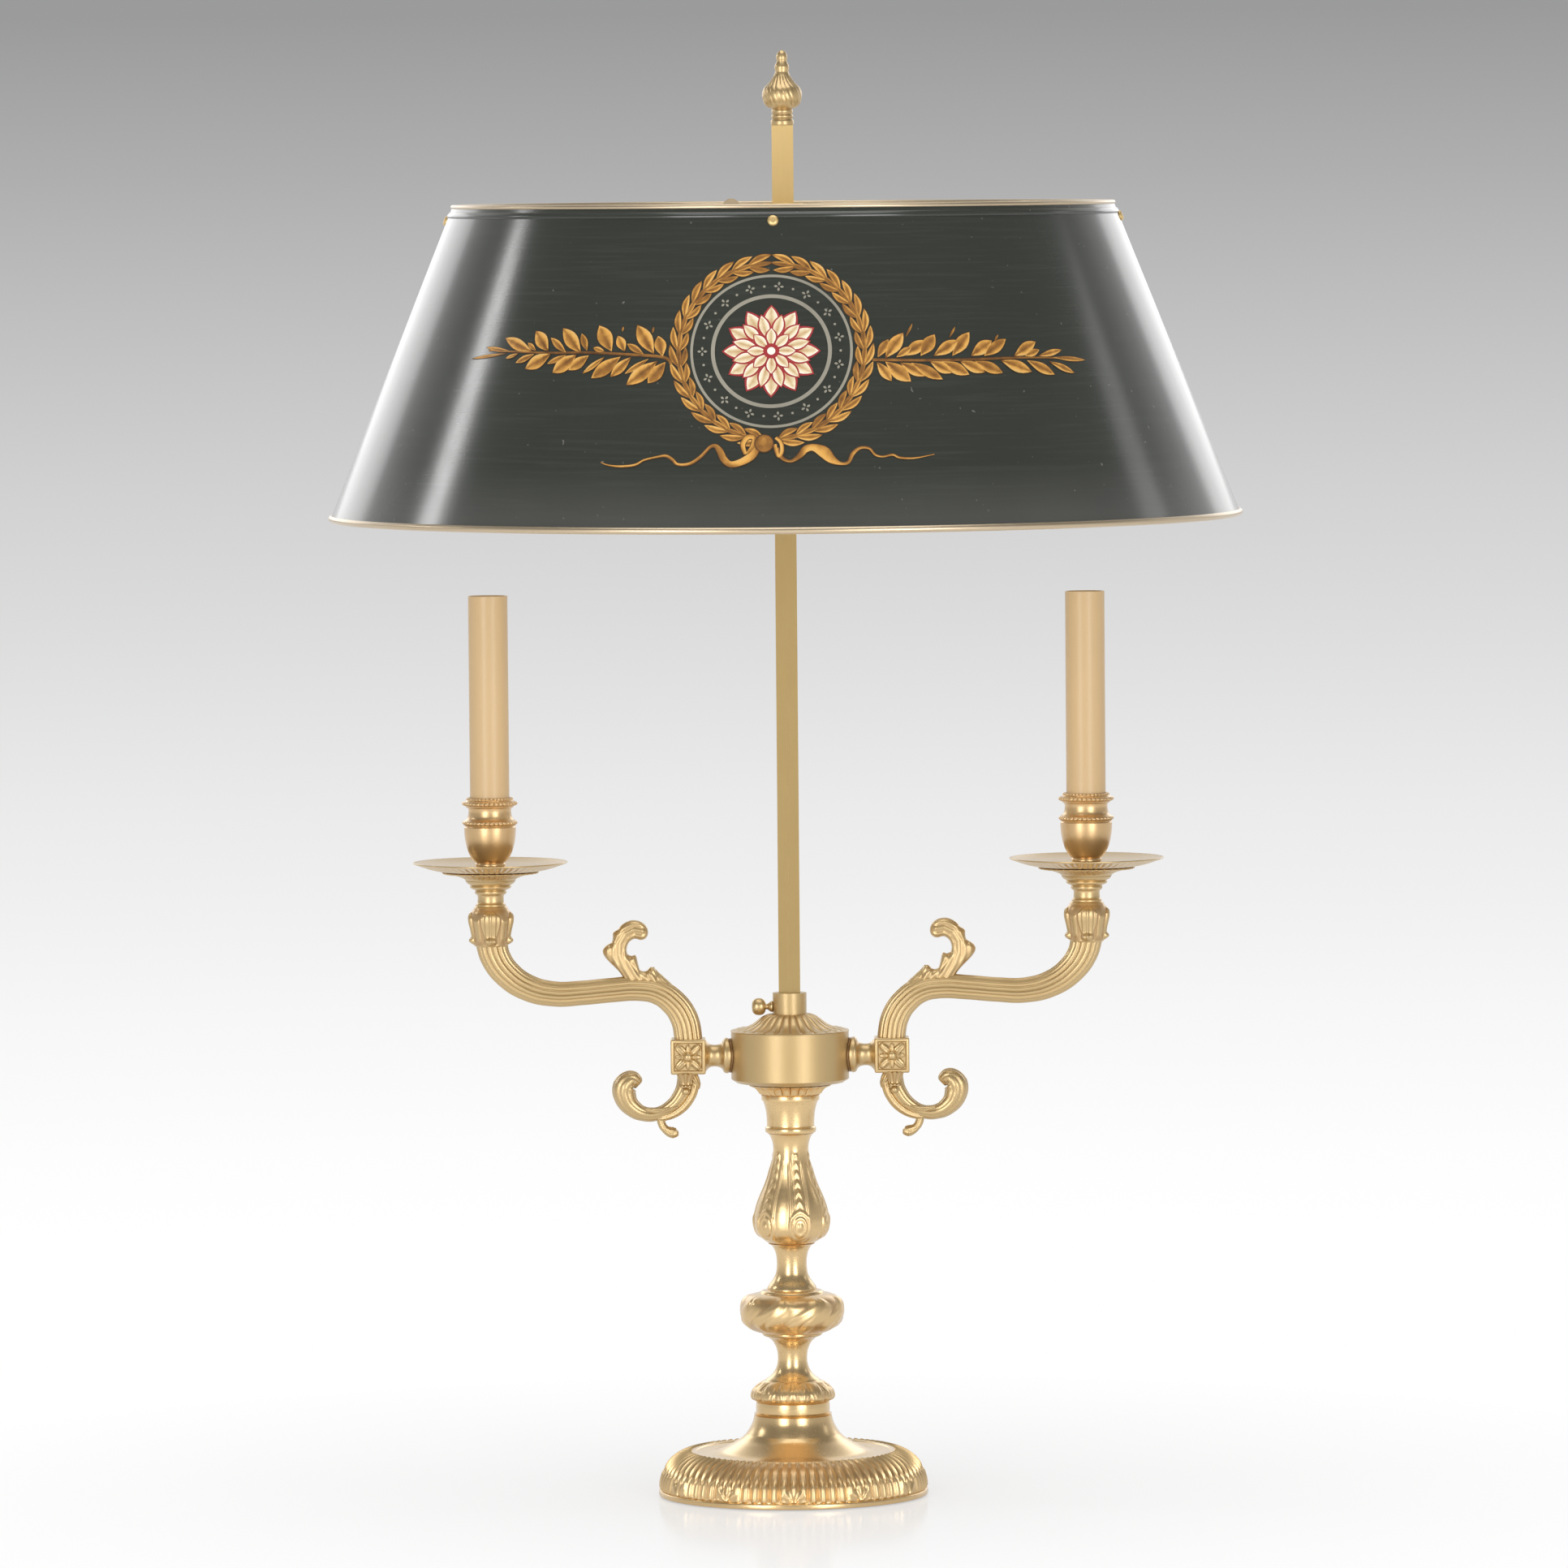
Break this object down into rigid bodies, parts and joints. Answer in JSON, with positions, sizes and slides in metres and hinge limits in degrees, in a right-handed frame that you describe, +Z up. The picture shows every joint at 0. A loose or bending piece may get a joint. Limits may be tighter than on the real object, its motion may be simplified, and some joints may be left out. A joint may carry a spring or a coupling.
{
  "type": "table lamp",
  "caption": "Brass candlestick table lamp: weighted round foot, turned stem, drum with fixed S-curved arms and candle sockets, and a painted metal shade that slides on a six-sided rod.",
  "frame": {"origin": "on the table, under the axis of the stem", "axes": "+Z up along the rod, the lamp's front looks along -Y, +X to the right arm"},
  "size_m": [0.51, 0.51, 0.8085],
  "materials": {
    "cast_brass": "polished cast brass, darker in its recesses",
    "turned_brass": "turned brass with a fine brushed grain",
    "rod_brass": "drawn brass bar, long brushed grain",
    "screw_brass": "small turned brass screws",
    "socket_brass": "thin pressed brass",
    "gilt": "gilded rolled rim, satin",
    "shade_paint": "dark green-black gloss paint outside, pale inside",
    "candle_tube": "cream candle sleeve, soft sheen",
    "moulding": "dark moulded socket body",
    "bushing": "dark moulded bush",
    "wire_cover": "wire insulation",
    "felt": "green felt",
    "iron": "rough cast iron",
    "steel": "plated steel",
    "bronzed_washer": "dark bronzed washer"
  },
  "bodies": {
    "lamp": {"foot": "cast_brass", "foot_felt": "felt", "foot_ballast": "iron", "cord_grommet": "bushing", "tie_tube": "steel", "tie_washer": "steel", "tie_nuts": "steel", "stem_collar": "cast_brass", "lower_spool": "cast_brass", "knop": "cast_brass", "upper_spool": "cast_brass", "vase": "cast_brass", "drum_cup": "cast_brass", "drum_boss": "cast_brass", "drum": "turned_brass", "drum_cover": "cast_brass", "rod_collar": "turned_brass", "collar_nut": "steel", "arm_left": "cast_brass", "arm_right": "cast_brass", "arm_nipples": "steel", "arm_nuts": "steel", "arm_washers": "bronzed_washer", "calyx_left": "cast_brass", "calyx_right": "cast_brass", "saucer_left": "cast_brass", "saucer_right": "cast_brass", "drip_dish_left": "cast_brass", "drip_dish_right": "cast_brass", "candle_cup_left": "cast_brass", "candle_cup_right": "cast_brass", "candle_posts": "steel", "post_nuts": "steel", "socket_body_left": "moulding", "socket_body_right": "moulding", "socket_shell_left": "socket_brass", "socket_shell_right": "socket_brass", "socket_contacts": "socket_brass", "wire_connectors": "bushing", "arm_wires": "wire_cover", "stem_wires": "wire_cover"},
    "mast": {"rod": "rod_brass", "finial": "cast_brass", "finial_stud": "steel"},
    "shade": {"shade_shell": "shade_paint", "shade_bottom_rim": "gilt", "shade_top_rim": "gilt", "shade_screws": "screw_brass", "shade_nuts": "steel", "shade_spider": "turned_brass"},
    "rod_screw": {"rod_clamp_screw": "turned_brass"},
    "key_screw": {"shade_clamp_screw": "turned_brass"},
    "sleeve_left": {"candle_sleeve_left": "candle_tube"},
    "sleeve_right": {"candle_sleeve_right": "candle_tube"}
  },
  "joints": [
    {"name": "rod_lift", "type": "slide", "parent": "lamp", "child": "mast", "axis": [0, 0, 1], "range_m": [0, 0.02]},
    {"name": "shade_slide", "type": "slide", "parent": "mast", "child": "shade", "axis": [0, 0, 1], "range_m": [-0.08, 0.035]},
    {"name": "rod_screw_turn", "type": "hinge", "parent": "lamp", "child": "rod_screw", "pos_m": [-0.0173, 0, 0.2745], "axis": [-1, 0, 0], "range_deg": [0, 360]},
    {"name": "key_screw_turn", "type": "hinge", "parent": "shade", "child": "key_screw", "pos_m": [-0.024, 0, 0.7187], "axis": [-1, 0, 0], "range_deg": [0, 360]},
    {"name": "sleeve_left_lift", "type": "slide", "parent": "lamp", "child": "sleeve_left", "axis": [0, 0, 1], "range_m": [0, 0.112]},
    {"name": "sleeve_right_lift", "type": "slide", "parent": "lamp", "child": "sleeve_right", "axis": [0, 0, 1], "range_m": [0, 0.112]}
  ]
}
